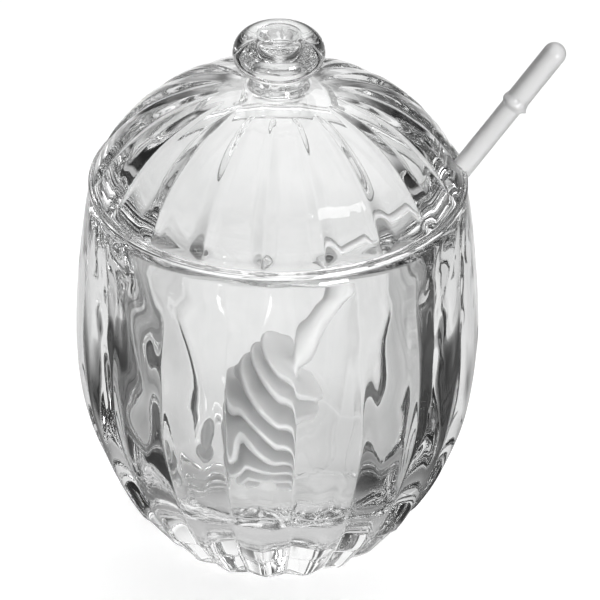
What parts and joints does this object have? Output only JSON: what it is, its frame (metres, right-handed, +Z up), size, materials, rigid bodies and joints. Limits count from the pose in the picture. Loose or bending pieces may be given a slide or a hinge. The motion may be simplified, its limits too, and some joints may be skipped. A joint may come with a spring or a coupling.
{
  "type": "honey pot",
  "caption": "Clear fluted glass honey pot with a domed, knobbed lid and a translucent plastic dipper leaning out through a notch at the rim. Empty.",
  "frame": {"origin": "centre of the flat underside of the pot's foot, on the pot's axis", "axes": "+Z up along the pot's axis; the dipper leans out towards +X, turned ten degrees to +Y"},
  "size_m": [0.1208, 0.1, 0.1398],
  "materials": {
    "crystal_glass": "clear, polished, colourless",
    "frosted_plastic": "milky translucent, satin"
  },
  "bodies": {
    "root": {"pot": "crystal_glass", "lid": "crystal_glass", "dipper": "frosted_plastic"}
  },
  "joints": []
}
